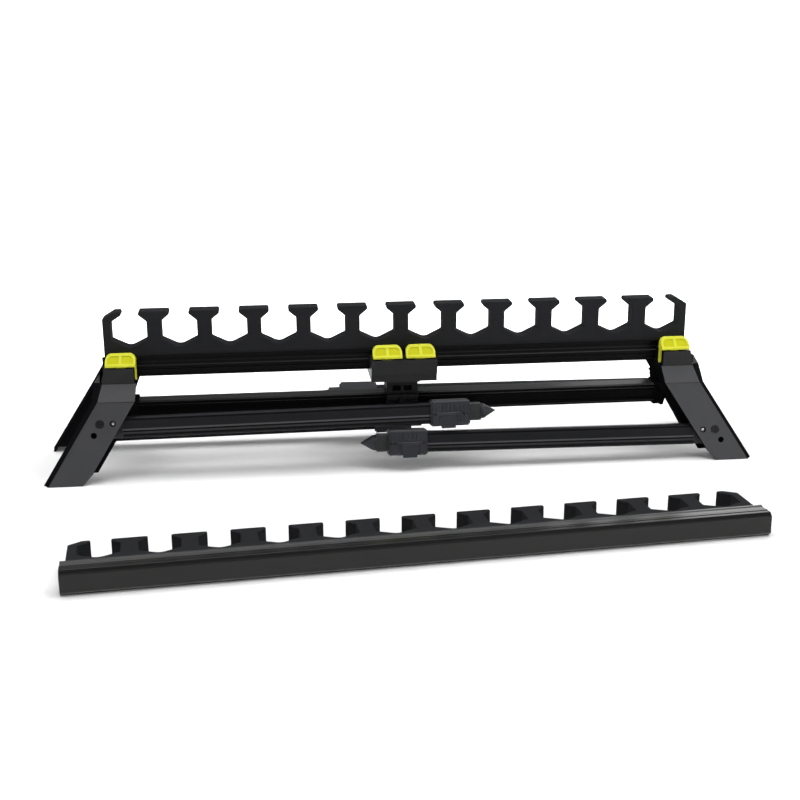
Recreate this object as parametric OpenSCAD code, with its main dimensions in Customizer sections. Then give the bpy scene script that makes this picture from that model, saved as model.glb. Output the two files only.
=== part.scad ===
// Free-standing fishing rod rest with four folding legs and a spare comb lying in front.
// X runs along the combs, Y runs from front to rear and Z is up from the floor.
// Angles are in degrees and lengths in millimetres.

/* [Combs] */
// Number of slots in each comb
slot_count = 12; // [6:1:13]
// Distance from one slot centre to the next
slot_pitch = 60; // [54:0.5:62]
// Width of a slot below the tooth tips
slot_w = 42.7; // [34:0.1:44]
// Width of a slot's mouth
mouth_w = 23.5; // [18:0.5:28]
// Depth of a slot
slot_depth = 44; // [38:0.5:50]
// How much further the two end hooks reach over their slots
hook_extra = 3; // [0:0.5:5]
// Foam outboard of the two end slots
end_wall = 9.6; // [8:0.1:14]
// Thickness of the foam
foam_t = 20; // [16:0.5:22]
// Foam height from the channel floor to the slot floors
foam_root = 33.6; // [30:0.1:40]
// Straight height of a tooth tip
tip_h = 4.5; // [3:0.1:6]
// Height of the slope under a tooth tip
tip_slope_h = 8; // [6:0.1:10]
// Slope of the slot floor's two halves
floor_angle = 26; // [15:1:32]
// Radius of the slot floor's lowest part
floor_r = 12; // [8:0.5:14]
// Width of the slope on top of each end hook
end_slope_w = 14; // [6:0.5:15]
// Height of that slope
end_slope_h = 8.5; // [4:0.5:10]

/* [Channel] */
// Depth of the channel from its front to its rear face
rail_w = 26.4; // [25.6:0.1:28]
// Height of the channel
rail_h = 26; // [25:0.5:28]
// Thickness of the channel's floor
rail_floor = 3; // [2:0.1:4]
// Chamfer along the channel's bottom edges
rail_chamfer = 4; // [2:0.1:4.5]
// Depth of the lines and panels along its faces
rail_line = 0.8; // [0.4:0.1:1.2]
// How far the stand's channel runs past the foam at each end
rail_overhang = 2.6; // [1:0.1:4]
// How far the spare comb's channel runs past its foam
spare_overhang = 4.6; // [1:0.1:8]
// Height of the channel's underside above the floor
rail_z = 113.4; // [112:0.1:118]

/* [End frames] */
// Distance from a frame's centre to the foam's end
frame_inset = 21.5; // [20:0.5:24]
// Width of the front face of a leg housing
housing_w = 43.7; // [40:0.1:46]
// How far a front housing's foot stands outboard of the frame's centre
foot_out = 66.6; // [60:0.1:72]
// How much further out the two rear housings stand
rear_splay = 10; // [0:0.5:12]
// Angle of a housing from upright, seen from the front
rake = 31.7; // [28:0.1:34]
// Angle of a housing from upright, seen from the side
tilt = 13; // [10:0.5:16]
// Distance from the middle plane to the front of a foot
foot_y = 80; // [76:0.5:90]
// Height of a housing's straight part, measured along its face
housing_h = 98.5; // [96:0.5:102]
// Thickness of a housing's face
face_t = 3; // [2.6:0.1:3.4]
// Thickness of a housing's bevel and side
side_t = 2; // [1.6:0.1:2.4]
// Width of the bevel between face and side
bevel_w = 7.5; // [7:0.1:9]
// Depth of the bevel
bevel_d = 8; // [7:0.1:10]
// Thickness of the web that closes a housing's back
web_t = 2.5; // [2:0.1:3]
// Height at which a web ends, measured along the housing
web_z = 13; // [10:0.5:18]
// How far a web reaches inboard of its housing
web_reach = 3.5; // [0:0.5:8]

/* [Saddles] */
// Width of a saddle block
saddle_w = 35; // [33:0.5:36]
// Width of the centre block
centre_w = 80.5; // [79:0.1:90]
// Height of the front of a block under its latch
block_h = 17.8; // [16.5:0.1:18.5]
// Thickness of a block from its front face to the channel
block_d = 29.6; // [28:0.1:31]
// Thickness of the rear wall
rear_t = 9; // [7:0.5:12]
// Overlap of the rear lip on the channel
lip_reach = 2; // [1:0.1:2.4]

/* [Latches] */
// Width of a latch
latch_w = 35.5; // [34.5:0.1:37]
// Height of a latch's crest above the channel's underside
latch_top = 35; // [33.5:0.1:36]
// Thickness of a latch's hook
hook_t = 2.2; // [2:0.1:3]
// Radius of a latch's top corners and of its hook's corners
latch_corner = 8; // [4:0.5:10]
// Distance from the middle plane to each centre latch
latch_gap = 2.5; // [1:0.1:3]
// Height of a latch's front edge
latch_edge = 2; // [1.5:0.1:3]
// Slope of a latch's paddle
latch_slope = 47; // [40:1:55]
// Radius of a latch pin
latch_pin_r = 1.5; // [1.2:0.1:1.8]

/* [Beam and clip] */
// Height of the beam between the frames
beam_h = 24.5; // [20:0.5:25]
// Depth of the beam
beam_d = 24; // [20:0.5:26]
// Height of the beam's underside
beam_z = 58; // [56:0.5:61]
// Wall of the beam
beam_wall = 2; // [1.5:0.1:3]
// Wall of the sockets that hold the beam's ends
socket_wall = 3; // [2.5:0.5:5]
// Length of a socket inboard of its frame
socket_len = 7.5; // [6:0.5:20]
// Width of the clip's neck
neck_w = 39; // [36:0.5:44]
// Wall of the clamp round the beam
clamp_wall = 3; // [2:0.1:4]

/* [Legs] */
// Distance from a lower pivot to its leg's clamp
leg_len = 361; // [300:1:364]
// Height of a lower pivot along the housing
pivot_low = 38.8; // [37:0.1:42]
// Distance along the housing from the lower to the upper pivot height
pivot_step = 34; // [33:0.1:38]
// How far the pivots lie outboard of the housing's middle line
pivot_out = 4; // [2:0.1:5]
// How much lower the rear pivots stand than the front ones
rear_drop = 6; // [0:0.5:7]
// Angle by which a folded leg rises towards its spike
leg_rise = 0.55; // [0:0.05:1]
// Height of the outer tube
tube_h = 25.5; // [23:0.5:26]
// Depth of the outer tube
tube_d = 19; // [18:0.5:20]
// Wall of the outer tube
tube_wall = 1.8; // [1.4:0.1:2.2]
// How far the tube's middle lies below its pivot
leg_drop = 5.6; // [4:0.1:6]
// Wall of the inner tube
inner_wall = 1.5; // [1.2:0.1:2]
// Length of inner tube that shows when a leg is closed
inner_show = 14; // [10:0.5:20]
// How far a leg extends
leg_travel = 240; // [150:5:240]
// Length of a clamp
clamp_len = 48; // [44:1:52]
// Height of a clamp
clamp_h = 32; // [30.5:0.5:32.5]
// Depth of a clamp
clamp_d = 26; // [24:0.5:27]
// Width of a clamp lever along its leg
lever_w = 22; // [16:1:26]
// Length of a spike with its collar
spike_len = 19; // [16:1:24]
// Radius of a spike at its base
spike_r = 9; // [8:0.5:10]

/* [Pivots and buttons] */
// Radius of a pivot bolt's shank
bolt_r = 3; // [2.5:0.1:3.2]
// Radius of a pivot bolt's head
bolt_head_r = 4.5; // [4.2:0.1:5]
// Thickness of a pivot bolt's nut
nut_t = 4; // [3:0.5:5]
// Radius of a nut across its corners
nut_r = 5.6; // [5:0.1:6.5]
// Ring left free round a bolt head and round a button
head_ring = 0.8; // [0.3:0.1:1]
// Distance from a pivot to its lock button
button_reach = 15.2; // [14.5:0.1:16]
// Radius of a lock button
button_r = 2.8; // [2.4:0.1:3]
// How far a button pushes in
button_travel = 2; // [1.5:0.1:2.4]
// How far a leg swings
leg_swing = 120; // [110:1:120]

/* [Spare comb] */
// Distance from the stand's middle plane to the spare comb's channel
spare_gap = 352; // [250:1:400]
// Sideways offset of the spare comb
spare_side = -5.3; // [-20:0.1:20]
// Turn of the spare comb on the floor
spare_turn = 4.87; // [0:0.01:8]

/* [Fits] */
// Clearance of parts that slide or turn together, on each side
run_gap = 0.06; // [0.04:0.01:0.1]
// Clearance between separate mouldings
part_gap = 0.3; // [0.2:0.05:0.4]
// Clearance of fastened parts
seat_gap = 0.05; // [0.02:0.01:0.1]

/* [Hidden] */

$fn = 48;
// Cuts run this far past what they cut
cut = 1;
// Wide bars and cuts run this far
far = 400;

// Comb sizes
comb_half = (slot_count - 1) / 2 * slot_pitch + slot_w / 2 + end_wall;
rail_half = comb_half + rail_overhang;
spare_half = comb_half + spare_overhang;
foam_h = foam_root + slot_depth;
foam_z = rail_z + rail_floor;
slot_floor_z = foam_z + foam_root;
tip_z = foam_z + foam_h;
rail_top_z = rail_z + rail_h;

// Saddle and frame places
frame_x = comb_half - frame_inset;
saddle_in_x = frame_x - saddle_w / 2 + 2;
block_y = -(rail_w / 2 + block_d);
block_top_z = rail_z + block_h + part_gap * 3;

// A housing's face lies in a plane that leans back by the tilt, and its middle line leans in by the rake
foot_x = frame_x + foot_out;
housing_d = face_t + 1.2 + tube_d + 0.4 + web_t;
bend_y = -foot_y + housing_h * sin(tilt);
bend_z = housing_h * cos(tilt);
function mid_x(z) = foot_x - z * tan(rake);
pivot_high = pivot_low + pivot_step;
// A front right or rear left leg has the lower pivot, and the other two have the upper one
function is_high(side, face) = side * face > 0;
function pivot_z(side, face) = (is_high(side, face) ? pivot_high : pivot_low) - (face > 0 ? rear_drop : 0);

// Leg sizes
tube_y = face_t + 1.2 + tube_d / 2;
inner_h = tube_h - 2 * tube_wall - 2 * run_gap;
inner_d = tube_d - 2 * tube_wall - 2 * run_gap;
tube_start = 26;
plug_len = 30;
// Distance from a leg's pivot to its clamp: the clamps of a face's two legs lie side by side
function leg_reach(side, face) = leg_len + (is_high(side, face) ? pivot_step : 0) + (face > 0 ? rear_splay : 0);

// The row's origin lies on the floor under the middle of the whole set
spare_front_y = -spare_gap - spare_half * sin(spare_turn);
row_y = (-spare_front_y - foot_y) / 2;

frame_grey = [0.27, 0.28, 0.29];
dark_grey = [0.16, 0.17, 0.18];
near_black = [0.08, 0.08, 0.09];
latch_yellow = [0.85, 0.87, 0.25];
steel = [0.75, 0.75, 0.76];
black_steel = [0.12, 0.12, 0.13];

// A rectangle with round corners, centred
module round_rect(w, h, r) {
    square([w - 2 * r, h], center = true);
    square([w, h - 2 * r], center = true);
    for (x = [-1, 1], y = [-1, 1])
        translate([x * (w / 2 - r), y * (h / 2 - r)]) circle(r);
}

// Moves everything from the stand's middle to the row's origin
module placed() {
    translate([0, row_y, 0]) children();
}

// Lays the spare comb on its back with its teeth to the rear
module spare_placed() {
    placed()
        translate([spare_side, -spare_gap, rail_w / 2])
            rotate([0, 0, spare_turn]) rotate([-90, 0, 0])
                translate([0, 0, -rail_z]) children();
}

// Places what is drawn for the front right corner in any corner: side 1 is right, face 1 is rear
module corner(side, face) {
    placed()
        mirror([side < 0 ? 1 : 0, 0, 0]) mirror([0, face > 0 ? 1 : 0, 0])
            translate([face > 0 ? rear_splay : 0, 0, 0]) children();
}

// Goes to a housing's own plane: x outboard, y into the housing, z up along its face
module housing_plane() {
    translate([0, -foot_y, 0]) rotate([-tilt, 0, 0]) children();
}

// Goes to a folded leg's own line: x towards its spike, z up across it, with its pivot at the origin.
// Its pivot stands at z along the housing
module leg_line(z) {
    housing_plane()
        translate([mid_x(z) + pivot_out, 0, z])
            mirror([1, 0, 0]) rotate([0, -leg_rise, 0]) children();
}

module leg_corner(side, face) {
    corner(side, face) leg_line(pivot_z(side, face)) children();
}

// Combs

// Half of a slot's outline from its floor's middle to its mouth, in x from the slot's centre and height
function floor_arc() = [for (a = [0 : floor_angle / 4 : floor_angle])
    [floor_r * sin(a), floor_r * (1 - cos(a))]];
function wall_foot_z() = floor_r * (1 - cos(floor_angle))
    + (slot_w / 2 - floor_r * sin(floor_angle)) * tan(floor_angle);

function half_slot(mouth) = concat(floor_arc(), [
    [slot_w / 2, wall_foot_z()],
    [slot_w / 2, slot_depth - tip_h - tip_slope_h],
    [mouth, slot_depth - tip_h],
    [mouth, slot_depth - 1.5],
    [mouth + 1.5, slot_depth + cut / 4],
    [0, slot_depth + cut / 4]
]);

module slot_outline(left_mouth, right_mouth) {
    polygon(half_slot(right_mouth));
    mirror([1, 0]) polygon(half_slot(left_mouth));
}

module foam_comb() {
    rotate([90, 0, 0]) linear_extrude(foam_t, center = true) difference() {
        translate([0, foam_z]) polygon([
            [-comb_half, 0], [comb_half, 0],
            [comb_half, foam_h - end_slope_h], [comb_half - end_slope_w, foam_h],
            [-comb_half + end_slope_w, foam_h], [-comb_half, foam_h - end_slope_h]
        ]);
        for (i = [0 : slot_count - 1])
            translate([(i - (slot_count - 1) / 2) * slot_pitch, slot_floor_z])
                slot_outline(
                    mouth_w / 2 - (i == 0 ? hook_extra : 0),
                    mouth_w / 2 - (i == slot_count - 1 ? hook_extra : 0)
                );
    }
}

// One side of the channel's section, from its bottom chamfer up and down again to the foam's seat
function channel_side() =
    let(half = rail_w / 2, panel = rail_w / 2 - rail_line, seat = foam_t / 2 + run_gap) [
        [half - rail_chamfer, 0], [half, rail_chamfer],
        [half, rail_h * 0.32], [panel, rail_h * 0.34], [panel, rail_h * 0.37], [half, rail_h * 0.39],
        [half, rail_h * 0.55], [panel, rail_h * 0.57], [panel, rail_h * 0.86], [half, rail_h * 0.88],
        [half, rail_h], [seat, rail_h], [seat, rail_floor - run_gap]
    ];

module channel(half) {
    side = channel_side();
    translate([0, 0, rail_z]) rotate([90, 0, 90]) linear_extrude(2 * half, center = true)
        polygon(concat(side, [for (i = [len(side) - 1 : -1 : 0]) [-side[i][0], side[i][1]]]));
}

module comb_channel() {
    color(near_black) placed() channel(rail_half);
}

module comb_foam() {
    color(dark_grey) placed() foam_comb();
}

module spare_channel() {
    color(near_black) spare_placed() channel(spare_half);
}

module spare_foam() {
    color(dark_grey) spare_placed() foam_comb();
}

// Leg housings

// The housing's section across its slope, from its middle line: u is outboard and v goes into the housing
face_in_u = -housing_w / 2 * cos(rake);
face_out_u = housing_w / 2 * cos(rake);
bevel_u = bevel_w * cos(rake);

module shell_section() {
    polygon([
        [face_in_u, 0], [face_out_u, 0], [face_out_u + bevel_u, bevel_d],
        [face_out_u + bevel_u, housing_d], [face_out_u + bevel_u - side_t, housing_d],
        [face_out_u + bevel_u - side_t, bevel_d + side_t * 0.4],
        [face_out_u - side_t * 0.6, face_t], [face_in_u, face_t]
    ]);
}

// A bar with that section along the housing's slope
module sloped() {
    translate([foot_x, 0, 0]) rotate([0, -rake, 0])
        translate([0, 0, -far / 4]) linear_extrude(far) children();
}

// Everything below the floor
module below_floor() {
    translate([0, -foot_y * 2, -100]) cube([foot_x * 2, foot_y * 4, 100]);
}

// Everything above the bend, in the housing's plane
module above_bend() {
    translate([-foot_x, -far / 2, housing_h]) cube([foot_x * 4, far, far]);
}

// Joins an outline at the bend to an outline at the saddle
module upper_form(low, low_z, high, high_z) {
    slice = 0.25;
    hull() {
        housing_plane() translate([0, 0, low_z]) linear_extrude(slice) polygon(low);
        translate([0, 0, high_z]) linear_extrude(slice) polygon(high);
    }
}

module shell_upper(splay) {
    x_in = mid_x(housing_h) - housing_w / 2;
    x_out = mid_x(housing_h) + housing_w / 2;
    x_side = x_out + bevel_w;
    t = face_t;
    // The upper form starts this far inside the lower one
    sunk = 0.05;
    // The top edge meets the saddle, which doesn't move with the rear splay
    top_in = frame_x - saddle_w / 2 - splay;
    top_out = frame_x + saddle_w / 2 + 5 - splay;
    top_side = top_out + 11;
    top_y = block_y;
    top_back = top_y + 24;
    difference() {
        upper_form(
            [[x_in, sunk], [x_out, sunk], [x_side - sunk, bevel_d], [x_side - sunk, housing_d - sunk],
                [x_in, housing_d - sunk]],
            housing_h - 0.3,
            [[top_in, top_y], [top_out, top_y], [top_side, top_y + 10], [top_side, top_back],
                [top_in, top_back]],
            rail_z + 0.2
        );
        upper_form(
            [[x_in - cut, t + sunk], [x_out - cut, t + sunk], [x_side - t, bevel_d + 1.5],
                [x_side - t, housing_d + cut], [x_in - cut, housing_d + cut]],
            housing_h - 2,
            [[top_in - cut, top_y + t], [top_out - cut, top_y + t], [top_side - t, top_y + 11.5],
                [top_side - t, top_back + cut], [top_in - cut, top_back + cut]],
            rail_z + 1
        );
    }
    // The shoulder beside the saddle
    hull() {
        translate([0, 0, rail_z]) linear_extrude(0.2) polygon([
            [top_out + 3.6, top_y + 7], [top_side, top_y + 10],
            [top_side, top_y + 24], [top_out + 3.6, top_y + 24]
        ]);
        translate([0, 0, rail_z + 10]) linear_extrude(0.2) polygon([
            [top_out + 3.6, top_y + 11], [top_out + 5, top_y + 12],
            [top_out + 5, top_y + 24], [top_out + 3.6, top_y + 24]
        ]);
    }
}

// The track inside the face that a lock button follows, and the two holes at its ends
module button_track(pivot_z) {
    leg_line(pivot_z) rotate([90, 0, 0]) {
        depth = face_t - 1.4;
        translate([0, 0, -face_t - cut]) linear_extrude(depth + cut) intersection() {
            difference() {
                circle(button_reach + button_r + part_gap / 2);
                circle(button_reach - button_r - part_gap / 2);
            }
            reach = 3 * button_reach;
            polygon([[0, 0], for (a = [0 : leg_swing / 4 : leg_swing + 1]) reach * [cos(a), -sin(a)]]);
        }
        for (a = [0, leg_swing])
            rotate([0, 0, -a]) translate([button_reach, 0, -face_t - cut])
                cylinder(face_t + 2 * cut, r = button_r + head_ring);
    }
}

module shell(pivot_z, splay) {
    floor_chamfer = 12.5;
    difference() {
        union() {
            housing_plane() difference() {
                sloped() shell_section();
                above_bend();
            }
            shell_upper(splay);
        }
        below_floor();
        // The inner corner at the floor is cut off
        housing_plane() rotate([90, 0, 0]) linear_extrude(far, center = true) {
            x = mid_x(floor_chamfer) - housing_w / 2;
            polygon([
                [x - 0.01, floor_chamfer], [x + floor_chamfer * 1.86, -floor_chamfer],
                [x - 60, -floor_chamfer], [x - 60, floor_chamfer]
            ]);
        }
        // A fine line marks the bend
        housing_plane() translate([0, -cut, housing_h - 0.8])
            cube([foot_x + housing_w, cut + 0.6, 0.7]);
        button_track(pivot_z);
        leg_line(pivot_z) rotate([-90, 0, 0]) {
            translate([0, 0, -cut]) cylinder(face_t + 2 * cut, r = bolt_r + seat_gap);
            translate([0, 0, -cut]) cylinder(cut + 1.2, r = bolt_head_r + head_ring);
        }
    }
}

module shell_front_left() {
    color(frame_grey) corner(-1, -1) shell(pivot_z(-1, -1), 0);
}

module shell_front_right() {
    color(frame_grey) corner(1, -1) shell(pivot_z(1, -1), 0);
}

module shell_rear_left() {
    color(frame_grey) corner(-1, 1) shell(pivot_z(-1, 1), rear_splay);
}

module shell_rear_right() {
    color(frame_grey) corner(1, 1) shell(pivot_z(1, 1), rear_splay);
}

// Inner frames: two webs, the deck under the saddle and the socket for the beam

module web(pivot_z) {
    web_in_u = face_in_u - web_reach * cos(rake);
    difference() {
        housing_plane() difference() {
            sloped() translate([web_in_u, housing_d - web_t])
                square([face_out_u + bevel_u - side_t - part_gap - web_in_u, web_t]);
            above_bend();
            translate([0, -cut, -100]) cube([foot_x * 2, 100, web_z + 100]);
        }
        leg_line(pivot_z) rotate([-90, 0, 0])
            cylinder(housing_d + 2 * cut, r = bolt_r + seat_gap);
    }
}

module beam_section(grow) {
    round_rect(beam_d + 2 * grow, beam_h + 2 * grow, 3 + grow);
}

socket_x = frame_x - saddle_w / 2 + 10;
deck_z = rail_z - 9;

module frame(side) {
    web_y = housing_d - 1;
    web_top_y = -foot_y + (housing_h - 1) * sin(tilt) + web_y * cos(tilt);
    web_top_z = (housing_h - 1) * cos(tilt) - web_y * sin(tilt);
    socket_low = beam_z - socket_wall;
    wall_foot_y = beam_d / 2 + socket_wall;
    wall_side_z = web_top_z - 6;
    corner(side, -1) web(pivot_z(side, -1));
    corner(side, 1) web(pivot_z(side, 1));
    placed() mirror([side < 0 ? 1 : 0, 0, 0]) {
        difference() {
            union() {
                // The cross wall ties the two webs together and narrows down to the socket
                translate([socket_x, 0, 0]) rotate([90, 0, 90]) linear_extrude(4) polygon([
                    [-wall_foot_y, socket_low], [wall_foot_y, socket_low], [-web_top_y, wall_side_z],
                    [-web_top_y, deck_z], [web_top_y, deck_z], [web_top_y, wall_side_z]
                ]);
                // The deck carries the saddle
                translate([socket_x, web_top_y, web_top_z - 1])
                    cube([saddle_w - 4, -2 * web_top_y, deck_z - web_top_z + 1]);
                // The socket holds the beam's end
                translate([socket_x - socket_len, 0, beam_z + beam_h / 2])
                    rotate([90, 0, 90]) linear_extrude(socket_len + 2) beam_section(socket_wall);
            }
            translate([socket_x - socket_len - cut, 0, beam_z + beam_h / 2])
                rotate([90, 0, 90]) linear_extrude(socket_len + cut) beam_section(seat_gap);
        }
    }
}

module frame_left() {
    color(near_black) frame(-1);
}

module frame_right() {
    color(near_black) frame(1);
}

// Latches and the blocks that hold them

latch_pin_y = block_y + 10.2;
latch_pin_z = rail_z + 5.6;
lug_r = 4.5;
lug_w = 11.4;
arm_t = 2;
arm_r = 3;
// The hook is narrower than the paddle by this much on each side
hook_side = 6;
paddle_z = block_top_z + 2;
latch_z = rail_z + latch_top;
hook_z = rail_top_z + 0.4;
hook_y = -(rail_w / 2) + 1.4;

// Where the paddle's slope reaches its crest
crest_y = block_y + (latch_z - paddle_z - latch_edge) / tan(latch_slope);

module latch_profile() {
    polygon([
        [block_y, paddle_z], [block_y, paddle_z + latch_edge], [crest_y, latch_z], [crest_y + 2, latch_z],
        [hook_y, hook_z + hook_t], [hook_y, hook_z], [block_y + 15.5, hook_z], [latch_pin_y + lug_r, paddle_z]
    ]);
}

// The latch seen from the front, with round top corners, and shrunk by an inset
module latch_front(inset) {
    r = latch_corner - inset;
    half = latch_w / 2 - inset;
    top = latch_z - inset;
    translate([-half, paddle_z - cut]) square([2 * half, top - paddle_z + cut - r]);
    translate([-half + r, paddle_z]) square([2 * (half - r), top - paddle_z]);
    for (x = [-1, 1]) translate([x * (half - r), top - r]) circle(r);
}

// The latch seen from above: behind its crest it narrows to a hook with round corners
module latch_plan() {
    r = latch_corner / 2;
    half = latch_w / 2;
    narrow = half - hook_side;
    translate([-half, block_y - cut]) square([2 * half, crest_y + 3 - block_y + cut]);
    translate([-narrow, block_y]) square([2 * narrow, hook_y - block_y - r]);
    translate([-narrow + r, block_y]) square([2 * (narrow - r), hook_y - block_y]);
    for (x = [-1, 1]) translate([x * (narrow - r), hook_y - r]) circle(r);
}

// A leg of the latch that goes down to its pin
module latch_lug(width, r) {
    rotate([90, 0, 90]) linear_extrude(width, center = true) {
        translate([latch_pin_y, latch_pin_z]) circle(r);
        translate([latch_pin_y - r, latch_pin_z]) square([2 * r, paddle_z - latch_pin_z + 2]);
    }
}

// Arm side: 1 or -1 puts an arm down that side of the block, 0 leaves it off
module latch(arm) {
    rim = 2.6;
    rib = 3.4;
    panel_depth = 0.9;
    difference() {
        union() {
            intersection() {
                rotate([90, 0, 90]) linear_extrude(latch_w, center = true) latch_profile();
                rotate([90, 0, 0]) linear_extrude(far, center = true) latch_front(0);
                translate([0, 0, paddle_z - cut]) linear_extrude(latch_z - paddle_z + 2 * cut) latch_plan();
            }
            latch_lug(lug_w, lug_r);
            if (arm != 0) translate([arm * (latch_w - arm_t) / 2, 0, 0]) latch_lug(arm_t, arm_r);
        }
        // Two shallow panels with a rib between them
        intersection() {
            translate([0, block_y, paddle_z + latch_edge]) rotate([latch_slope, 0, 0])
                translate([-latch_w, rim, -panel_depth]) cube([2 * latch_w, 40, 10]);
            rotate([90, 0, 0]) linear_extrude(far, center = true) difference() {
                latch_front(rim);
                translate([-rib / 2, 0]) square([rib, far]);
            }
        }
        translate([0, latch_pin_y, latch_pin_z]) rotate([0, 90, 0])
            cylinder(latch_w + 2 * cut, r = latch_pin_r + run_gap, center = true);
    }
}

// The hollow in a block for a latch's lug, and the bore for its pin
module latch_hollow() {
    w = lug_w + 2 * part_gap + 0.6;
    // The lug needs this much room before it when the latch opens, and this much behind it
    room_front = 3.4;
    room_rear = 1.4;
    translate([-w / 2, latch_pin_y - lug_r - room_front, latch_pin_z - lug_r - 1])
        cube([w, 2 * lug_r + room_front + room_rear, 2 * block_h]);
    translate([0, latch_pin_y, latch_pin_z]) rotate([0, 90, 0])
        cylinder(latch_w + 2 * cut, r = latch_pin_r + 0.01, center = true);
}

// A block's section: front under the latch, seat for the channel, rear wall and its lip
module block_section(base_z, base_y) {
    front = -(rail_w / 2 + part_gap);
    rear = rail_w / 2 + part_gap;
    lip_z = rail_top_z + part_gap;
    polygon([
        [block_y, rail_z + 0.8], [block_y, block_top_z], [front, block_top_z],
        [front, rail_z], [rear, rail_z], [rear, lip_z],
        [rail_w / 2 - lip_reach, lip_z], [rail_w / 2 - lip_reach + 1, lip_z + 3],
        [rear + rear_t - 2, lip_z + 3], [rear + rear_t, lip_z + 1],
        [rear + rear_t, rail_z + 4], [base_y, rail_z - 1], [base_y, base_z],
        [block_y + face_t + 0.8, base_z], [block_y + face_t + 0.8, rail_z + 0.8]
    ]);
}

module saddle(side) {
    cheek_y = -(rail_w / 2 + part_gap);
    cheek_x = frame_x + saddle_w / 2 + 5.6 - part_gap;
    cheek_z = rail_z + 0.8;
    placed() mirror([side < 0 ? 1 : 0, 0, 0]) difference() {
        union() {
            translate([saddle_in_x, 0, 0]) rotate([90, 0, 90])
                linear_extrude(saddle_w) block_section(deck_z, -block_y - face_t - 0.8);
            // The cheek fills the corner beside the housing's shoulder
            translate([0, cheek_y, 0]) rotate([90, 0, 0]) linear_extrude(cheek_y - block_y) polygon([
                [frame_x, cheek_z], [cheek_x, cheek_z], [cheek_x, cheek_z + 4],
                [cheek_x - 4, block_top_z], [frame_x, block_top_z]
            ]);
        }
        translate([frame_x, 0, 0]) latch_hollow();
    }
}

module saddle_left() {
    color(near_black) saddle(-1);
}

module saddle_right() {
    color(near_black) saddle(1);
}

centre_latch_x = latch_w / 2 + latch_gap;

module latch_left() {
    color(latch_yellow) placed() translate([-frame_x, 0, 0]) latch(1);
}

module latch_right() {
    color(latch_yellow) placed() translate([frame_x, 0, 0]) latch(-1);
}

module latch_centre_left() {
    color(latch_yellow) placed() translate([-centre_latch_x, 0, 0]) latch(0);
}

module latch_centre_right() {
    color(latch_yellow) placed() translate([centre_latch_x, 0, 0]) latch(0);
}

module latch_pins() {
    length = latch_w - 4;
    color(steel) placed()
        for (x = [-frame_x, -centre_latch_x, centre_latch_x, frame_x])
            translate([x, latch_pin_y, latch_pin_z]) rotate([0, 90, 0])
                cylinder(length, r = latch_pin_r, center = true);
}

// Beam and the clip that carries the channel's middle

module beam() {
    half = socket_x - 1;
    line = 1;
    color(near_black) placed() translate([0, 0, beam_z + beam_h / 2]) rotate([90, 0, 90])
        difference() {
            linear_extrude(2 * half, center = true) difference() {
                beam_section(0);
                round_rect(beam_d - 2 * beam_wall, beam_h - 2 * beam_wall, 1.5);
                // Lines along the front and rear faces
                for (x = [-1, 1], y = [-0.22, 0.24])
                    translate([x * beam_d / 2, y * beam_h]) square([2 * line, 1.6], center = true);
            }
        }
}

neck_y = beam_d / 2 + clamp_wall + 1;
clamp_split_z = beam_z + beam_h * 0.5;
hinge_r = 3.4;
hinge_y = -(neck_y + hinge_r + part_gap);
hinge_z = beam_z + beam_h * 0.885;
clip_base_z = rail_z - 9.2;
screw_y = beam_d / 2 + clamp_wall + 4;

module centre_clip() {
    barrel = neck_w * 0.4;
    recess_w = 10;
    recess_h = 6.5;
    recess_d = 3;
    color(near_black) placed() difference() {
        union() {
            translate([-centre_w / 2, 0, 0]) rotate([90, 0, 90])
                linear_extrude(centre_w) block_section(clip_base_z, rail_w / 2 + rear_t);
            translate([-neck_w / 2, block_y + face_t + 0.8, clip_base_z - cut])
                cube([neck_w, neck_y * 2, cut + 0.5]);
            // The neck and the upper half of the clamp
            translate([0, 0, beam_z + beam_h / 2]) rotate([90, 0, 90])
                linear_extrude(neck_w, center = true) intersection() {
                    union() {
                        beam_section(clamp_wall);
                        translate([-neck_y, 0]) square([2 * neck_y, clip_base_z - beam_z - beam_h / 2 + 0.5]);
                        translate([0, 0]) square([screw_y + 5, 5]);
                    }
                    translate([-100, part_gap / 2]) square([200, 100]);
                }
            // Two barrels of the strap's hinge
            for (x = [-1, 1]) translate([x * (neck_w - barrel) / 2, 0, 0]) {
                translate([0, hinge_y, hinge_z]) rotate([0, 90, 0])
                    cylinder(barrel, r = hinge_r, center = true);
                translate([-barrel / 2, hinge_y, hinge_z])
                    cube([barrel, -hinge_y - neck_y + 1, hinge_r]);
            }
        }
        for (x = [-1, 1]) translate([x * centre_latch_x, 0, 0]) latch_hollow();
        translate([0, 0, beam_z + beam_h / 2]) rotate([90, 0, 90])
            linear_extrude(neck_w + 2 * cut, center = true) beam_section(seat_gap);
        translate([0, hinge_y, hinge_z]) rotate([0, 90, 0])
            cylinder(neck_w + 2 * cut, r = 1.5 + seat_gap, center = true);
        // Two square recesses in the neck
        for (x = [-1, 1])
            translate([x * 6.9 - recess_w / 2, -neck_y - cut, hinge_z + hinge_r + 3])
                cube([recess_w, recess_d + cut, recess_h]);
        for (x = [-1, 1]) translate([x * neck_w / 4, screw_y, clamp_split_z])
            cylinder(20, r = 1.7, center = true);
    }
}

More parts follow.
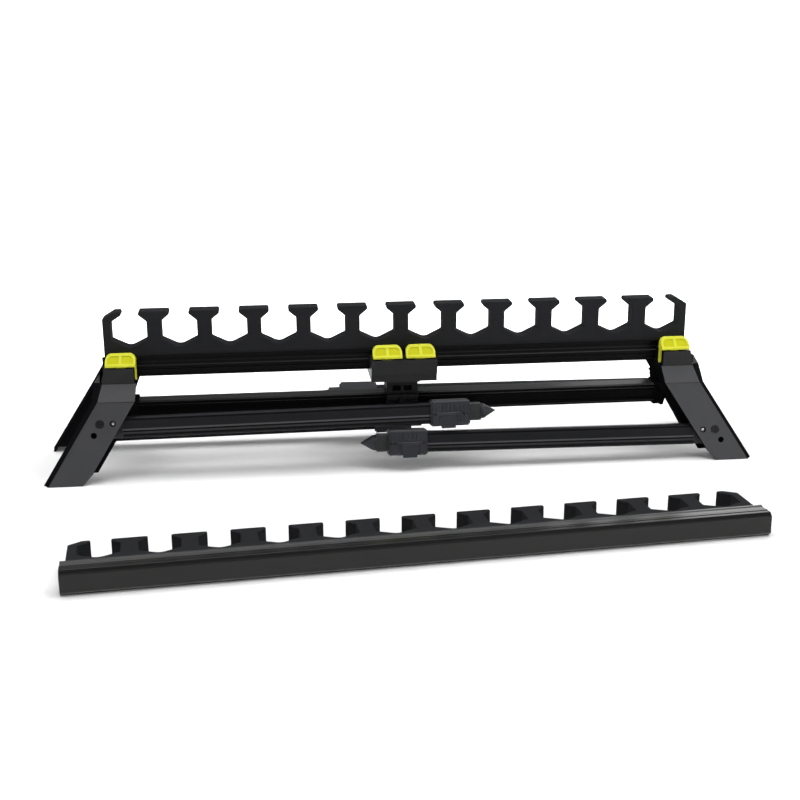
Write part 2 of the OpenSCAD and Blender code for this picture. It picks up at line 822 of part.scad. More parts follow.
module clip_strap() {
    barrel = neck_w * 0.2 - 2 * part_gap;
    color(near_black) placed() difference() {
        union() {
            translate([0, 0, beam_z + beam_h / 2]) rotate([90, 0, 90])
                linear_extrude(neck_w, center = true) intersection() {
                    union() {
                        beam_section(clamp_wall);
                        translate([0, -4]) square([screw_y + 5, 4]);
                    }
                    translate([-100, -100]) square([200, 100 - part_gap / 2]);
                }
            // The tongue up to the hinge
            translate([-barrel / 2, hinge_y - hinge_r, beam_z + beam_h * 0.25]) {
                cube([barrel, 2 * hinge_r, hinge_z - beam_z - beam_h * 0.25]);
                cube([barrel, -hinge_y + hinge_r - beam_d / 2 - clamp_wall + 1, beam_h * 0.2]);
            }
            translate([0, hinge_y, hinge_z]) rotate([0, 90, 0])
                cylinder(barrel, r = hinge_r, center = true);
        }
        translate([0, 0, beam_z + beam_h / 2]) rotate([90, 0, 90])
            linear_extrude(neck_w + 2 * cut, center = true) beam_section(seat_gap);
        translate([0, hinge_y, hinge_z]) rotate([0, 90, 0])
            cylinder(neck_w + 2 * cut, r = 1.5 + seat_gap, center = true);
        for (x = [-1, 1]) translate([x * neck_w / 4, screw_y, clamp_split_z])
            cylinder(20, r = 1.7, center = true);
    }
}

module clip_pin() {
    color(steel) placed() translate([0, hinge_y, hinge_z]) rotate([0, 90, 0])
        cylinder(neck_w - 0.6, r = 1.5, center = true);
}

module clip_screws() {
    color(black_steel) placed()
        for (x = [-1, 1]) translate([x * neck_w / 4, screw_y, clamp_split_z]) {
            translate([0, 0, -4.5]) cylinder(9, r = 1.65);
            translate([0, 0, -7]) difference() {
                cylinder(3, r = 3);
                translate([0, 0, -cut]) cylinder(cut + 1.6, r = 1.4, $fn = 6);
            }
        }
}

// Pivots

module pivot_bolt() {
    difference() {
        rotate([-90, 0, 0]) {
            translate([0, 0, -0.3]) cylinder(1.5, r = bolt_head_r);
            cylinder(housing_d + nut_t, r = bolt_r);
        }
        translate([0, -1, 0]) rotate([-90, 0, 0]) cylinder(2, r = 2.2, $fn = 6);
    }
}

module pivot_nut() {
    rotate([-90, 0, 0]) translate([0, 0, housing_d]) difference() {
        cylinder(nut_t, r = nut_r, $fn = 6);
        translate([0, 0, -cut]) cylinder(nut_t + 2 * cut, r = bolt_r + 0.01);
    }
}

module pivot_bolts() {
    color(black_steel) for (side = [-1, 1], face = [-1, 1]) leg_corner(side, face) pivot_bolt();
}

module pivot_nuts() {
    color(black_steel) for (side = [-1, 1], face = [-1, 1]) leg_corner(side, face) pivot_nut();
}

// Legs

module tube_section(grow) {
    round_rect(tube_h + 2 * grow, tube_d + 2 * grow, 4 + grow);
}

// Extrudes a section, drawn as height by depth about the tube's middle, along the leg
module along_leg(from, to) {
    translate([from, tube_y, -leg_drop]) rotate([0, 90, 0])
        linear_extrude(to - from) children();
}

// The knuckle's front face stands this far behind the housing's face
knuckle_y = face_t + 0.4;
eye_r = 12.4;
// Its corners are rounder than the tube's, so that they clear the housing's bevel when the leg is out
knuckle_corner = 7;

module knuckle() {
    difference() {
        union() {
            rotate([-90, 0, 0]) translate([0, 0, knuckle_y])
                cylinder(tube_y + tube_d / 2 - knuckle_y, r = eye_r);
            along_leg(1, tube_start) round_rect(tube_h, tube_d, knuckle_corner);
            along_leg(tube_start - cut, tube_start + plug_len) tube_section(-tube_wall - seat_gap);
            // A boss carries the button close behind the face
            rotate([-90, 0, 0]) translate([button_reach, 0, knuckle_y])
                cylinder(4, r = button_r + 2);
        }
        rotate([-90, 0, 0]) {
            cylinder(housing_d + cut, r = bolt_r + run_gap);
            // The button's stepped bore
            translate([button_reach, 0, 0]) {
                cylinder(knuckle_y + 3, r = button_r + run_gap);
                translate([0, 0, knuckle_y + 1.6]) cylinder(11, r = button_r + 1.1 + run_gap);
            }
        }
    }
}

module knuckle_front_left() { color(near_black) leg_corner(-1, -1) knuckle(); }
module knuckle_front_right() { color(near_black) leg_corner(1, -1) knuckle(); }
module knuckle_rear_left() { color(near_black) leg_corner(-1, 1) knuckle(); }
module knuckle_rear_right() { color(near_black) leg_corner(1, 1) knuckle(); }

// The button: a domed pin with a shoulder, and its short spring behind
module button() {
    tip_y = 1.5;
    dome = 1.2;
    rotate([-90, 0, 0]) {
        translate([0, 0, tip_y + dome]) cylinder(knuckle_y + 1.7 - tip_y - dome, r = button_r);
        intersection() {
            translate([0, 0, tip_y + dome * 2 + 1.4]) sphere(dome * 2 + 1.4);
            translate([0, 0, tip_y]) cylinder(dome + 0.01, r = button_r);
        }
        translate([0, 0, knuckle_y + 1.7]) cylinder(1.5, r = button_r + 1.1);
        translate([0, 0, knuckle_y + 3]) difference() {
            cylinder(6.8, r = button_r + 0.4);
            translate([0, 0, 0.5]) cylinder(9, r = button_r - 0.5);
        }
    }
}

module button_placed() {
    translate([button_reach, 0, 0]) button();
}

module button_front_left() { color(steel) leg_corner(-1, -1) button_placed(); }
module button_front_right() { color(steel) leg_corner(1, -1) button_placed(); }
module button_rear_left() { color(steel) leg_corner(-1, 1) button_placed(); }
module button_rear_right() { color(steel) leg_corner(1, 1) button_placed(); }

// The outer tube, with two lines along its front and rear faces
module outer_tube(reach) {
    difference() {
        along_leg(tube_start + seat_gap, reach + 16) difference() {
            tube_section(0);
            tube_section(-tube_wall);
            for (y = [-1, 1]) translate([tube_h * 0.2, y * tube_d / 2]) square([1.6, 1.2], center = true);
            for (y = [-1, 1]) translate([tube_h * 0.32, y * tube_d / 2]) square([1, 1], center = true);
        }
    }
}

module tube_front_left() { color(dark_grey) leg_corner(-1, -1) outer_tube(leg_reach(-1, -1)); }
module tube_front_right() { color(dark_grey) leg_corner(1, -1) outer_tube(leg_reach(1, -1)); }
module tube_rear_left() { color(dark_grey) leg_corner(-1, 1) outer_tube(leg_reach(-1, 1)); }
module tube_rear_right() { color(dark_grey) leg_corner(1, 1) outer_tube(leg_reach(1, 1)); }

// The clamp at the end of the outer tube, with a pocket down its front face for its lever
clamp_front_y = tube_y - clamp_d / 2;
clamp_foot_z = -leg_drop - clamp_h / 2;
lever_pin_r = 1;
lever_lobe = 2;
lever_pin_y = clamp_front_y + 0.6;
lever_pin_z = -leg_drop - 1;
lever_t = 2.4;
function lever_mid(reach) = reach + clamp_len * 0.45;

module clamp(reach) {
    to = reach + clamp_len;
    mid = lever_mid(reach);
    ear = 3;
    line_step = 5;
    line_w = 0.8;
    difference() {
        union() {
            along_leg(reach + 2, to - 2) round_rect(clamp_h, clamp_d, 4);
            along_leg(reach, to) round_rect(clamp_h - 3, clamp_d - 3, 3.5);
            // Ribs round the end that the inner tube leaves
            for (x = [0.66, 0.76, 0.86])
                along_leg(reach + x * clamp_len, reach + x * clamp_len + 2)
                    round_rect(clamp_h - 6, clamp_d + 1.2, 4);
            // Two ears hold the lever's pin
            for (x = [-1, 1])
                translate([mid + x * (lever_w / 2 + ear / 2 + part_gap), lever_pin_y, lever_pin_z])
                    rotate([0, 90, 0]) cylinder(ear, r = lever_lobe, center = true);
        }
        along_leg(reach - cut, reach + 16 + seat_gap) tube_section(seat_gap);
        along_leg(reach + 15, to + cut) tube_section(-tube_wall);
        // Room for the lever and its lobe
        translate([mid - lever_w / 2 - part_gap, clamp_front_y - cut, clamp_foot_z - cut])
            cube([lever_w + 2 * part_gap, cut + lever_t + part_gap, lever_pin_z - clamp_foot_z + cut]);
        translate([mid, lever_pin_y, lever_pin_z]) rotate([0, 90, 0]) {
            cylinder(lever_w + 2 * part_gap, r = lever_lobe + part_gap, center = true);
            cylinder(clamp_len, r = lever_pin_r + 0.01, center = true);
        }
        // Fine upright lines over the lever
        for (x = [-1.5 : 1.5])
            translate([mid + x * line_step - line_w / 2, clamp_front_y - cut, lever_pin_z + lever_lobe + 2])
                cube([line_w, cut + line_w, clamp_h / 2 - lever_lobe - 6]);
    }
}

module clamp_front_left() { color(dark_grey) leg_corner(-1, -1) clamp(leg_reach(-1, -1)); }
module clamp_front_right() { color(dark_grey) leg_corner(1, -1) clamp(leg_reach(1, -1)); }
module clamp_rear_left() { color(dark_grey) leg_corner(-1, 1) clamp(leg_reach(-1, 1)); }
module clamp_rear_right() { color(dark_grey) leg_corner(1, 1) clamp(leg_reach(1, 1)); }

// The lever: a lobe round the pin, a plate down the clamp's front and a thumb tab under it
module lever(reach) {
    tab_w = lever_w - 5;
    tab_d = 8;
    tab_t = 2.2;
    tab_z = clamp_foot_z - part_gap - tab_t;
    translate([lever_mid(reach), 0, 0]) difference() {
        union() {
            translate([0, lever_pin_y, lever_pin_z]) rotate([0, 90, 0])
                cylinder(lever_w, r = lever_lobe, center = true);
            translate([-lever_w / 2, clamp_front_y, clamp_foot_z + 1])
                cube([lever_w, lever_t, lever_pin_z - clamp_foot_z - 1]);
            translate([-tab_w / 2, clamp_front_y, tab_z])
                cube([tab_w, lever_t, lever_pin_z - tab_z - 2]);
            translate([-tab_w / 2, clamp_front_y, tab_z]) cube([tab_w, tab_d, tab_t]);
        }
        translate([0, lever_pin_y, lever_pin_z]) rotate([0, 90, 0])
            cylinder(lever_w + 2 * cut, r = lever_pin_r + run_gap, center = true);
    }
}

module lever_front_left() { color(dark_grey) leg_corner(-1, -1) lever(leg_reach(-1, -1)); }
module lever_front_right() { color(dark_grey) leg_corner(1, -1) lever(leg_reach(1, -1)); }
module lever_rear_left() { color(dark_grey) leg_corner(-1, 1) lever(leg_reach(-1, 1)); }
module lever_rear_right() { color(dark_grey) leg_corner(1, 1) lever(leg_reach(1, 1)); }

module lever_pin(reach) {
    translate([lever_mid(reach), lever_pin_y, lever_pin_z]) rotate([0, 90, 0])
        cylinder(lever_w + 6, r = lever_pin_r, center = true);
}

module lever_pin_front_left() { color(black_steel) leg_corner(-1, -1) lever_pin(leg_reach(-1, -1)); }
module lever_pin_front_right() { color(black_steel) leg_corner(1, -1) lever_pin(leg_reach(1, -1)); }
module lever_pin_rear_left() { color(black_steel) leg_corner(-1, 1) lever_pin(leg_reach(-1, 1)); }
module lever_pin_rear_right() { color(black_steel) leg_corner(1, 1) lever_pin(leg_reach(1, 1)); }

// The inner tube slides out of the clamp, and its end carries a spike
function inner_end(reach) = reach + clamp_len + inner_show;

module inner_section(grow) {
    round_rect(inner_h + 2 * grow, inner_d + 2 * grow, 2.2 + max(grow, -1.4));
}

module inner_tube(reach) {
    overlap = 40;
    along_leg(inner_end(reach) - leg_travel - overlap - clamp_len, inner_end(reach)) difference() {
        inner_section(0);
        inner_section(-inner_wall);
    }
}

module inner_front_left() { color(near_black) leg_corner(-1, -1) inner_tube(leg_reach(-1, -1)); }
module inner_front_right() { color(near_black) leg_corner(1, -1) inner_tube(leg_reach(1, -1)); }
module inner_rear_left() { color(near_black) leg_corner(-1, 1) inner_tube(leg_reach(-1, 1)); }
module inner_rear_right() { color(near_black) leg_corner(1, 1) inner_tube(leg_reach(1, 1)); }

module spike(reach) {
    collar = 5;
    along_leg(inner_end(reach) - 14, inner_end(reach) + 0.5) inner_section(-inner_wall - seat_gap);
    translate([inner_end(reach), tube_y, -leg_drop]) rotate([0, 90, 0]) {
        cylinder(collar, r = spike_r);
        for (x = [1, 3]) translate([0, 0, x]) cylinder(1, r = spike_r + 0.6);
        translate([0, 0, collar]) cylinder(spike_len - collar, r1 = spike_r, r2 = 0.6);
    }
}

module spike_front_left() { color(near_black) leg_corner(-1, -1) spike(leg_reach(-1, -1)); }
module spike_front_right() { color(near_black) leg_corner(1, -1) spike(leg_reach(1, -1)); }
module spike_rear_left() { color(near_black) leg_corner(-1, 1) spike(leg_reach(-1, 1)); }
module spike_rear_right() { color(near_black) leg_corner(1, 1) spike(leg_reach(1, 1)); }

comb_channel();
comb_foam();
spare_channel();
spare_foam();
shell_front_left();
shell_front_right();
shell_rear_left();
shell_rear_right();
frame_left();
frame_right();
saddle_left();
saddle_right();
beam();
centre_clip();
clip_strap();
clip_pin();
clip_screws();
pivot_bolts();
pivot_nuts();
latch_pins();
latch_left();
latch_centre_left();
latch_centre_right();
latch_right();
knuckle_front_left();
knuckle_front_right();
knuckle_rear_left();
knuckle_rear_right();
tube_front_left();
tube_front_right();
tube_rear_left();
tube_rear_right();
clamp_front_left();
clamp_front_right();
clamp_rear_left();
clamp_rear_right();
lever_front_left();
lever_front_right();
lever_rear_left();
lever_rear_right();
lever_pin_front_left();
lever_pin_front_right();
lever_pin_rear_left();
lever_pin_rear_right();
inner_front_left();
inner_front_right();
inner_rear_left();
inner_rear_right();
spike_front_left();
spike_front_right();
spike_rear_left();
spike_rear_right();
button_front_left();
button_front_right();
button_rear_left();
button_rear_right();
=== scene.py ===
import math

import bmesh
import bpy
from mathutils import Matrix, Vector


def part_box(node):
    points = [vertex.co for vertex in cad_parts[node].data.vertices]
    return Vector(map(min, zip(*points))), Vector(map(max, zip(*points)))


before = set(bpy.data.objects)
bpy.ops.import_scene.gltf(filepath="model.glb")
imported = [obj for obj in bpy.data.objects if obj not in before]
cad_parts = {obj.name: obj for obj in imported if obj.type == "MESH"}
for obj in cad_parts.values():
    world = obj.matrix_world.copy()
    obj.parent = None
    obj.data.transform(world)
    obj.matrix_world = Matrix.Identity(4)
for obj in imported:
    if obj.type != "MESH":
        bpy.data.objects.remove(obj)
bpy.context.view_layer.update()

scene = bpy.context.scene


# The studio: one sheet of white paper under the rest, a large soft box overhead, two at the sides and one
# behind. The camera stands low in front and a little to the left, as the photographer's did.
def studio_light(name, place, target, size, power):
    lamp = bpy.data.lights.new(name, "AREA")
    lamp.shape = "RECTANGLE"
    lamp.size, lamp.size_y = size
    lamp.energy = power
    obj = bpy.data.objects.new(name, lamp)
    aim = (Vector(target) - Vector(place)).to_track_quat("-Z", "Y")
    obj.matrix_world = Matrix.Translation(place) @ aim.to_matrix().to_4x4()
    obj.visible_camera = False
    scene.collection.objects.link(obj)


studio_light("softbox_top", (0.0, 0.1, 1.6), (0.0, 0.0, 0.0), (2.2, 1.2), 30.0)
studio_light("softbox_left", (-1.6, -0.7, 0.9), (0.0, 0.0, 0.1), (0.8, 0.8), 3.0)
studio_light("softbox_right", (1.5, -1.1, 0.8), (0.1, 0.0, 0.1), (0.9, 0.8), 11.0)
studio_light("softbox_rear", (0.92, 1.25, 0.66), (0.30, -0.2, 0.0), (0.85, 0.45), 3.0)

sky = bpy.data.worlds.new("white_room")
sky.use_nodes = True
sky.node_tree.nodes["Background"].inputs["Color"].default_value = (1.0, 1.0, 1.0, 1.0)
sky.node_tree.nodes["Background"].inputs["Strength"].default_value = 0.34
scene.world = sky
scene.view_settings.view_transform = "Standard"

camera_place = Vector((-0.163487, -1.335244, 0.517495))
camera_turn, camera_dip, camera_roll = (math.radians(a) for a in (6.23434, 16.69866, 0.23334))
side = Vector((math.cos(camera_turn), -math.sin(camera_turn), 0.0))
ahead = Vector((math.sin(camera_turn) * math.cos(camera_dip), math.cos(camera_turn) * math.cos(camera_dip),
                -math.sin(camera_dip)))
up = side.cross(ahead)
rolled_side = math.cos(camera_roll) * side - math.sin(camera_roll) * up
rolled_up = math.sin(camera_roll) * side + math.cos(camera_roll) * up
lens = bpy.data.cameras.new("camera")
lens.lens = 55.68
lens.sensor_width = 36.0
camera = bpy.data.objects.new("camera", lens)
camera_axes = Matrix((rolled_side, rolled_up, -ahead)).transposed().to_4x4()
camera.matrix_world = Matrix.Translation(camera_place) @ camera_axes
scene.collection.objects.link(camera)
scene.camera = camera


# Every finish on this rest is mixed by one small painter: it holds a material and wires up its nodes.
# A Wire is one value in that material, and plain arithmetic on it adds the Math nodes.
class Wire:
    def __init__(self, paint, socket):
        self.paint, self.socket = paint, socket

    def maths(self, operation, first, second):
        return self.paint.node("ShaderNodeMath", {"operation": operation}, {0: first, 1: second})

    def __add__(self, other):
        return self.maths("ADD", self, other)

    def __radd__(self, other):
        return self.maths("ADD", other, self)

    def __sub__(self, other):
        return self.maths("SUBTRACT", self, other)

    def __mul__(self, other):
        return self.maths("MULTIPLY", self, other)


class Paint:
    def __init__(self, name):
        self.material = bpy.data.materials.new(name)
        self.material.use_nodes = True
        self.tree = self.material.node_tree
        self.shader = self.tree.nodes["Principled BSDF"]
        self.here = self.node("ShaderNodeTexCoord", {}, {}, "Object")

    def join(self, socket, value):
        if isinstance(value, Wire):
            self.tree.links.new(value.socket, socket)
        else:
            socket.default_value = value

    def node(self, kind, settings, sockets, output=0):
        made = self.tree.nodes.new(kind)
        for name, value in settings.items():
            if name == "stops":
                for stop, (place, tone) in zip(made.color_ramp.elements, value):
                    stop.position, stop.color = place, (*tone, 1.0)
            else:
                setattr(made, name, value)
        for name, value in sockets.items():
            self.join(made.inputs[name], value)
        return Wire(self, made.outputs[output])

    def finish(self, **sockets):
        for name, value in sockets.items():
            self.join(self.shader.inputs[name.replace("_", " ").title()], value)
        return self.material

    def stretched(self, scale):
        return self.node("ShaderNodeMapping", {}, {"Vector": self.here, "Scale": scale})

    def noise(self, size, detail=3.0, roughness=0.55, place=None):
        sockets = {"Vector": place or self.here, "Scale": 1.0 / size, "Detail": detail,
                   "Roughness": roughness}
        return self.node("ShaderNodeTexNoise", {}, sockets, "Fac")

    def blend(self, mask, dark, light):
        dark, light = (tone if isinstance(tone, Wire) else (*tone, 1.0) for tone in (dark, light))
        return self.node("ShaderNodeMix", {"data_type": "RGBA"}, {"Factor": mask, 6: dark, 7: light}, 2)

    def along(self, axis, place=None):
        return self.node("ShaderNodeSeparateXYZ", {}, {"Vector": place or self.here}, axis)

    def line(self, height, middle, half_width):
        return self.node("ShaderNodeMath", {"operation": "COMPARE"}, {0: height, 1: middle, 2: half_width})

    def ramp(self, value, low, high, from_value=0.0, to_value=1.0):
        limits = {"Value": value, "From Min": low, "From Max": high,
                  "To Min": from_value, "To Max": to_value}
        return self.node("ShaderNodeMapRange", {"interpolation_type": "SMOOTHSTEP"}, limits, "Result")

    def relief(self, height, depth):
        sockets = {"Height": height, "Distance": depth, "Strength": 1.0}
        return self.node("ShaderNodeBump", {}, sockets, "Normal")


# A CAD piece keeps its shape. Its loose triangles are joined and merged into faces, and its edges get the
# small radius that a mould or a die leaves.
def dress(node, material, radius, segments=2):
    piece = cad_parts[node]
    weld = piece.modifiers.new("join", "WELD")
    weld.merge_threshold = 0.000002
    flats = piece.modifiers.new("flats", "DECIMATE")
    flats.decimate_type = "DISSOLVE"
    flats.angle_limit = math.radians(0.5)
    edge = piece.modifiers.new("edges", "BEVEL")
    edge.width = radius
    edge.segments = segments
    edge.limit_method = "ANGLE"
    edge.angle_limit = math.radians(30.0)
    shade = piece.modifiers.new("shade", "WEIGHTED_NORMAL")
    shade.keep_sharp = True
    piece.data.materials.clear()
    piece.data.materials.append(material)
    for face in piece.data.polygons:
        face.use_smooth = True
    return piece


corners = ("front_left", "front_right", "rear_left", "rear_right")


# The two foam combs: closed-cell foam sheets, water-cut, so their faces are matt and finely pitted.
def foam():
    paint = Paint("comb_foam")
    pits = paint.noise(0.0011, 4.0, 0.7)
    cells = paint.noise(0.0035, 2.0)
    cloud = paint.noise(0.06, 2.0)
    tone = paint.blend(cloud * 0.6 + pits * 0.4, (0.0130, 0.0134, 0.0148), (0.0235, 0.0240, 0.0260))
    paint.shader.inputs["Specular IOR Level"].default_value = 0.05
    return paint.finish(Base_Color=tone, Roughness=0.82 + cloud * 0.12,
                        Normal=paint.relief(pits * 0.7 + cells * 0.3, 0.00022))


foam_finish = foam()
for name in ("comb_foam", "spare_foam"):
    dress(name, foam_finish, 0.0009, 3)


# The comb's channel and the beam: aluminium extrusions, black anodised. The die leaves faint lengthwise
# lines. The ridges' edges carry painted highlight lines, painted brighter towards +X. A painted highlight
# line is given by its height over the floor, half its width and its brightness.
def extrusion(name, shine_level, dark, light, painted_highlight_lines):
    paint = Paint(name)
    paint.shader.inputs["Specular IOR Level"].default_value = shine_level
    die_lines = paint.noise(0.0016, 2.0, 0.5, paint.stretched((0.002, 1.0, 1.0)))
    cloud = paint.noise(0.05, 2.0)
    tone = paint.blend(cloud * 0.6 + die_lines * 0.4, dark, light)
    height = paint.along("Z")
    # Each line is a painted highlight, ramped stronger towards +X where the rear soft box would reflect.
    for level, half_width, shine in painted_highlight_lines:
        painted_glint = paint.ramp(paint.along("X"), -0.35, 0.30, 0.35, 1.0)
        edge = paint.line(height, level, half_width) * painted_glint
        tone = paint.blend(edge, tone, (shine, shine, shine * 1.03))
    return paint.finish(Base_Color=tone, Roughness=0.25 + cloud * 0.05 + die_lines * 0.03,
                        Normal=paint.relief(die_lines, 0.000006))


channel_low, channel_high = (corner[2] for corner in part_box("comb_channel"))
beam_low, beam_high = (corner[2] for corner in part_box("beam"))
# Painted highlight lines: height, half width and brightness of each.
channel_finish = extrusion("channel_black", 0.08, (0.0012, 0.0012, 0.0015), (0.0026, 0.0027, 0.0031), (
    (channel_high - 0.0118, 0.0007, 0.028), (channel_high - 0.0070, 0.0005, 0.018),
    (channel_low + 0.0022, 0.0006, 0.020)))
beam_finish = extrusion("beam_black", 0.04, (0.0016, 0.0016, 0.0019), (0.0032, 0.0033, 0.0037), (
    (beam_high - 0.0008, 0.0008, 0.052), (beam_high - 0.0052, 0.0007, 0.045),
    (beam_low + 0.0030, 0.0006, 0.030)))
dress("comb_channel", channel_finish, 0.0005)
dress("beam", beam_finish, 0.0005)


# The spare channel lies on its back, turned on the floor. Its wall on top is painted darker as shade, with a
# painted lighter strip beside the foam, and a painted highlight line runs along the bottom edge of its front
# face.
def lying_channel():
    paint = Paint("spare_channel_black")
    paint.shader.inputs["Specular IOR Level"].default_value = 0.26
    turned = paint.node("ShaderNodeMapping", {},
                        {"Vector": paint.here, "Rotation": (0.0, 0.0, -spare_turn)})
    drawn = paint.node("ShaderNodeMapping", {}, {"Vector": turned, "Scale": (0.002, 1.0, 1.0)})
    die_lines = paint.noise(0.0016, 2.0, 0.5, drawn)
    cloud = paint.noise(0.08, 2.0)
    height, depth = paint.along("Z"), paint.along("Y", turned)
    tone = paint.blend(cloud, (0.0120, 0.0117, 0.0112), (0.0155, 0.0151, 0.0145))
    # Painted shade: the top wall is darkened.
    on_top = paint.ramp(height, spare_top - 0.0039, spare_top - 0.0019)
    tone = paint.blend(on_top, tone, (0.0035, 0.0035, 0.0038))
    # Painted light: a lighter strip on the top wall beside the foam.
    painted_strip_by_foam = paint.ramp(depth, spare_front + 0.0150, spare_front + 0.0170)
    tone = paint.blend(on_top * painted_strip_by_foam, tone, (0.050, 0.050, 0.051))
    # Painted highlight: a light line near the bottom edge of the front face.
    tone = paint.blend(paint.line(height, 0.0034, 0.0009), tone, (0.092, 0.092, 0.091))
    return paint.finish(Base_Color=tone, Roughness=0.20 + cloud * 0.05,
                        Normal=paint.relief(die_lines, 0.000006))


spare_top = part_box("spare_channel")[1][2]
spare_corner = min((v.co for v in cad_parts["spare_channel"].data.vertices), key=lambda co: co.y)
spare_end = max((v.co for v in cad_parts["spare_channel"].data.vertices), key=lambda co: co.x)
spare_turn = math.atan2(spare_end.y - spare_corner.y, spare_end.x - spare_corner.x)
spare_front = spare_corner.y * math.cos(spare_turn) - spare_corner.x * math.sin(spare_turn)
dress("spare_channel", lying_channel(), 0.0008, 3)


# The mouldings: glass-filled nylon with the fine spark-eroded grain of their moulds. The end frames and the
# sides of saddles and housings get a darker copy of the black without shine, a painted shade; only the
# housings' broad faces keep their grey. A polygon is told by how far its normal points sideways and outwards.
def moulded(name, dark, light, roughness, shine):
    paint = Paint(name)
    paint.shader.inputs["Specular IOR Level"].default_value = shine
    spark = paint.noise(0.0009, 3.0, 0.65)
    flow = paint.noise(0.035, 3.0)
    tone = paint.blend(flow * 0.7 + spark * 0.3, dark, light)
    return paint.finish(Base_Color=tone, Roughness=roughness - 0.05 + flow * 0.10,
                        Normal=paint.relief(spark, 0.00006))


sideways, outwards = 0.42, 0.60
housing_finish = moulded("housing_grey", (0.041, 0.0415, 0.0440), (0.053, 0.0535, 0.0565), 0.50, 0.25)
black_finish = moulded("moulding_black", (0.0075, 0.0077, 0.0086), (0.0120, 0.0123, 0.0137), 0.42, 0.25)
painted_shade_finish = moulded("black_painted_shade", (0.0045, 0.0045, 0.0052), (0.0070, 0.0071, 0.0080), 0.50, 0.0)
clamp_finish = moulded("moulding_slate", (0.0200, 0.0210, 0.0250), (0.0290, 0.0300, 0.0350), 0.42, 0.25)
for corner in corners:
    shell = dress("shell_" + corner, housing_finish, 0.0007)
    shell.data.materials.append(painted_shade_finish)
    outward = 1.0 if corner.startswith("rear") else -1.0
    # Housing faces that are not broad get the painted shade.
    for face in shell.data.polygons:
        broad = abs(face.normal.x) <= sideways and face.normal.y * outward >= outwards
        face.material_index = int(not broad)
    dress("knuckle_" + corner, black_finish, 0.0006)
    dress("spike_" + corner, clamp_finish, 0.0004)
    dress("clamp_" + corner, clamp_finish, 0.0005)
    dress("lever_" + corner, clamp_finish, 0.0005)
for name in ("centre_clip", "clip_strap"):
    dress(name, black_finish, 0.0006)
# The end frames wear the painted shade.
for name in ("frame_left", "frame_right"):
    dress(name, painted_shade_finish, 0.0006)
for name in ("saddle_left", "saddle_right"):
    saddle = dress(name, black_finish, 0.0006)
    saddle.data.materials.append(painted_shade_finish)
    # Saddle faces that point sideways get the painted shade.
    for face in saddle.data.polygons:
        face.material_index = int(abs(face.normal.x) > sideways)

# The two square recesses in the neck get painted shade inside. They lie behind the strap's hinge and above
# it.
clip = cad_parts["centre_clip"]
clip.data.materials.append(painted_shade_finish)
hinge_depth, recess_rise, slack = 0.0071, 0.0030, 0.0003
recess_near, recess_far, recess_height, recess_depth = 0.0019, 0.0119, 0.0065, 0.0030
neck_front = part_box("clip_strap")[0][1] + hinge_depth
recess_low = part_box("clip_strap")[1][2] + recess_rise
# Faces inside the recesses get the painted shade.
for face in clip.data.polygons:
    x, y, z = face.center
    across = recess_near - slack < abs(x) < recess_far + slack
    upright = recess_low - slack < z < recess_low + recess_height + slack
    if across and upright and neck_front + slack < y < neck_front + recess_depth + slack:
        face.material_index = 1


# The legs' tubes: drawn aluminium, anodised, the outer ones dark grey and the inner ones black. Along the
# grooves of their lower half run painted shade lines and painted highlight lines, and a painted shade line
# runs along the top. Heights are counted from each tube's own middle line.
def tube_finish(node):
    paint = Paint("anodised_" + node)
    paint.shader.inputs["Specular IOR Level"].default_value = 0.06
    points = [v.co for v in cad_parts[node].data.vertices]
    west, east = min(p.x for p in points), max(p.x for p in points)
    low = [p.z for p in points if p.x < west + 0.002]
    high = [p.z for p in points if p.x > east - 0.002]
    start, end = (min(low) + max(low)) / 2, (min(high) + max(high)) / 2
    slope = (end - start) / (east - west)
    height = paint.along("Z") - paint.along("X") * slope - (start - west * slope)
    cloud = paint.noise(0.05, 2.0)
    die_lines = paint.noise(0.0016, 2.0, 0.5, paint.stretched((0.002, 1.0, 1.0)))
    tone = paint.blend(cloud * 0.6 + die_lines * 0.4, (0.0112, 0.0115, 0.0132), (0.0165, 0.0169, 0.0193))
    # Painted lines: highlights at -0.3 mm and -4.4 mm, shade at -2.0 mm, -7.0 mm and near the top at +11.3
    # mm.
    for level, half_width, shade in ((-0.0003, 0.0010, 0.068), (-0.0020, 0.0007, 0.003),
                                     (-0.0044, 0.0011, 0.036), (-0.0070, 0.0010, 0.005),
                                     (0.0113, 0.0010, 0.004)):
        tone = paint.blend(paint.line(height, level, half_width), tone, (shade, shade, shade * 1.05))
    return paint.finish(Base_Color=tone, Roughness=0.30 + cloud * 0.08,
                        Normal=paint.relief(die_lines, 0.000006))


def inner_finish():
    paint = Paint("inner_black")
    cloud = paint.noise(0.02, 3.0)
    return paint.finish(Base_Color=paint.blend(cloud, (0.010, 0.0102, 0.011), (0.015, 0.0153, 0.0165)),
                        Roughness=0.32 + cloud * 0.10)


inner_black = inner_finish()
for corner in corners:
    dress("tube_" + corner, tube_finish("tube_" + corner), 0.0004)
    dress("inner_" + corner, inner_black, 0.0004)


# The four latches: lime polyoxymethylene, tough and slightly glossy. The two shallow panels on each are
# painted darker than the rim and the rib around them, as painted shade in the recess, and are told from them
# by their depth below the rim.
def lime(name, dark, light):
    paint = Paint(name)
    flow = paint.noise(0.012, 3.0)
    spark = paint.noise(0.0009, 2.0)
    paint.shader.inputs["Specular IOR Level"].default_value = 0.10
    tone = paint.blend(flow, dark, light)
    return paint.finish(Base_Color=tone, Roughness=0.34 + flow * 0.08,
                        Normal=paint.relief(spark, 0.00004))


rim_finish = lime("latch_lime", (0.560, 0.575, 0.0300), (0.600, 0.615, 0.0380))
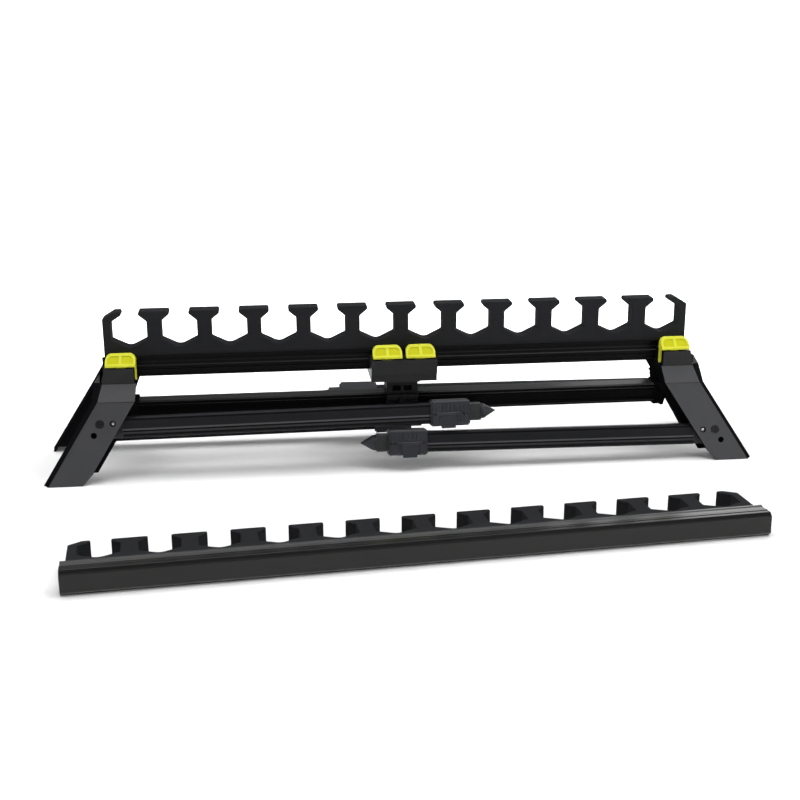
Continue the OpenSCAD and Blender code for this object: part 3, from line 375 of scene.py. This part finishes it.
# Painted shade for the recessed panels.
panel_shade_finish = lime("latch_panel_shade", (0.460, 0.455, 0.0020), (0.500, 0.495, 0.0030))
latch_slope = math.radians(47.0)
slope = Vector((0.0, -math.sin(latch_slope), math.cos(latch_slope)))
least_depth = 0.0005
for name in ("latch_left", "latch_centre_left", "latch_centre_right", "latch_right"):
    latch = dress(name, rim_finish, 0.0008, 3)
    latch.data.materials.append(panel_shade_finish)
    sloped = [face for face in latch.data.polygons if face.normal.dot(slope) > 0.9999]
    rim_level = max(slope.dot(face.center) for face in sloped)
    for face in sloped:
        face.material_index = int(slope.dot(face.center) < rim_level - least_depth)


# Pins and lock buttons are bright turned steel. The pivot bolts, their nuts and the screws are blackened.
def metal(name, dark, light, roughness):
    paint = Paint(name)
    turned = paint.noise(0.0012, 4.0, 0.7)
    return paint.finish(Base_Color=paint.blend(turned, dark, light), Metallic=1.0,
                        Roughness=roughness + turned * 0.15, Normal=paint.relief(turned, 0.00003))


steel_finish = metal("steel_plated", (0.42, 0.42, 0.43), (0.56, 0.56, 0.57), 0.25)
blackened_finish = metal("steel_blackened", (0.020, 0.020, 0.022), (0.040, 0.040, 0.044), 0.36)
for name in ("latch_pins", "clip_pin"):
    dress(name, steel_finish, 0.0003)
for name in ("pivot_bolts", "pivot_nuts", "clip_screws"):
    dress(name, blackened_finish, 0.0003)
for corner in corners:
    dress("lever_pin_" + corner, blackened_finish, 0.0002)
    dress("button_" + corner, steel_finish, 0.0003)


# The paper: a pale sheet that the rest stands on. Behind and further off it carries a painted glow that
# brightens until it melts into the lit walls. The walls light nothing, and only the rear one holds back the
# light of the room behind it.
def paper():
    paint = Paint("paper")
    fibre = paint.noise(0.4, 2.0)
    # Painted glow: the paper's emission rises behind the rest and further away.
    behind = paint.ramp(paint.along("Y"), 0.12, 0.85)
    distance = paint.node("ShaderNodeVectorMath", {"operation": "LENGTH"}, {0: paint.here}, "Value")
    glow = behind + paint.ramp(distance, 0.75, 1.5)
    paint.shader.inputs["Emission Strength"].default_value = 1.0
    return paint.finish(Base_Color=paint.blend(fibre, (0.93, 0.93, 0.93), (0.95, 0.95, 0.95)),
                        Roughness=0.9,
                        Emission_Color=paint.blend(glow, (0.0, 0.0, 0.0), (1.0, 1.0, 1.0)))


def white_wall():
    paint = Paint("lit_wall")
    paint.shader.inputs["Emission Strength"].default_value = 1.0
    return paint.finish(Base_Color=(0.0, 0.0, 0.0, 1.0), Emission_Color=(1.0, 1.0, 1.0, 1.0))


def backdrop(name, place, turn, axis, material):
    sheet = bmesh.new()
    bmesh.ops.create_grid(sheet, x_segments=1, y_segments=1, size=sheet_half,
                          matrix=Matrix.Translation(place) @ Matrix.Rotation(turn, 4, axis))
    mesh = bpy.data.meshes.new(name)
    sheet.to_mesh(mesh)
    sheet.free()
    mesh.materials.append(material)
    obj = bpy.data.objects.new(name, mesh)
    scene.collection.objects.link(obj)
    return obj


sheet_half, room_half = 6.0, 3.0
backdrop("paper", (0.0, 0.0, 0.0), 0.0, "X", paper())
lit_wall = white_wall()
for name, place, axis in (("wall_rear", (0.0, room_half, 0.0), "X"),
                          ("wall_front", (0.0, -room_half, 0.0), "X"),
                          ("wall_left", (-room_half, 0.0, 0.0), "Y"),
                          ("wall_right", (room_half, 0.0, 0.0), "Y")):
    wall = backdrop(name, place, math.radians(90.0), axis, lit_wall)
    wall.visible_diffuse = False
    wall.visible_glossy = False
    wall.visible_shadow = name == "wall_rear"
